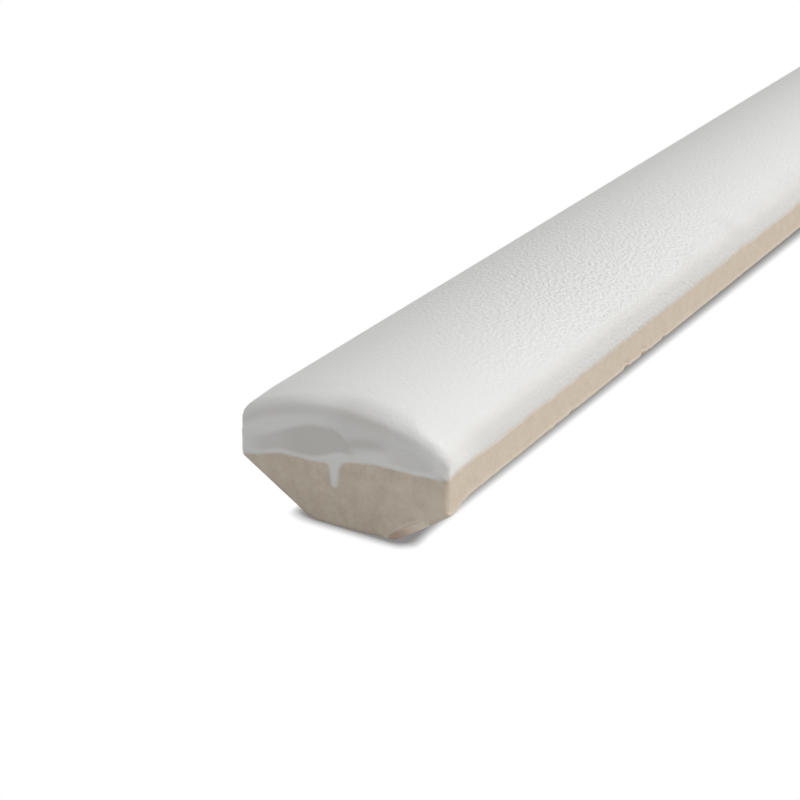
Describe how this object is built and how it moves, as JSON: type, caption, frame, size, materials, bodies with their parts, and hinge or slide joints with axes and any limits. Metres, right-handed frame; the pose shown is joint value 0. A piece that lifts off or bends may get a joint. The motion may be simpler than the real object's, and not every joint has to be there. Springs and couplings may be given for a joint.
{
  "type": "bullnose tile",
  "caption": "Narrow ceramic bullnose trim tile: domed white satin-glazed face, short upright sides, undercut flanks and a flat bare back, for finishing the edge of a tiled surface.",
  "frame": {"origin": "middle of the tile's length and width, on the plane of the flat back", "axes": "+X along the length, away from the chipped end; +Y across the width, towards the glazed side; +Z out of the back towards the crown"},
  "size_m": [0.2, 0.02, 0.0112],
  "materials": {
    "glazed_body": "satin white glaze over a bare beige body"
  },
  "bodies": {
    "root": {"bullnose_tile": "glazed_body"}
  },
  "joints": []
}
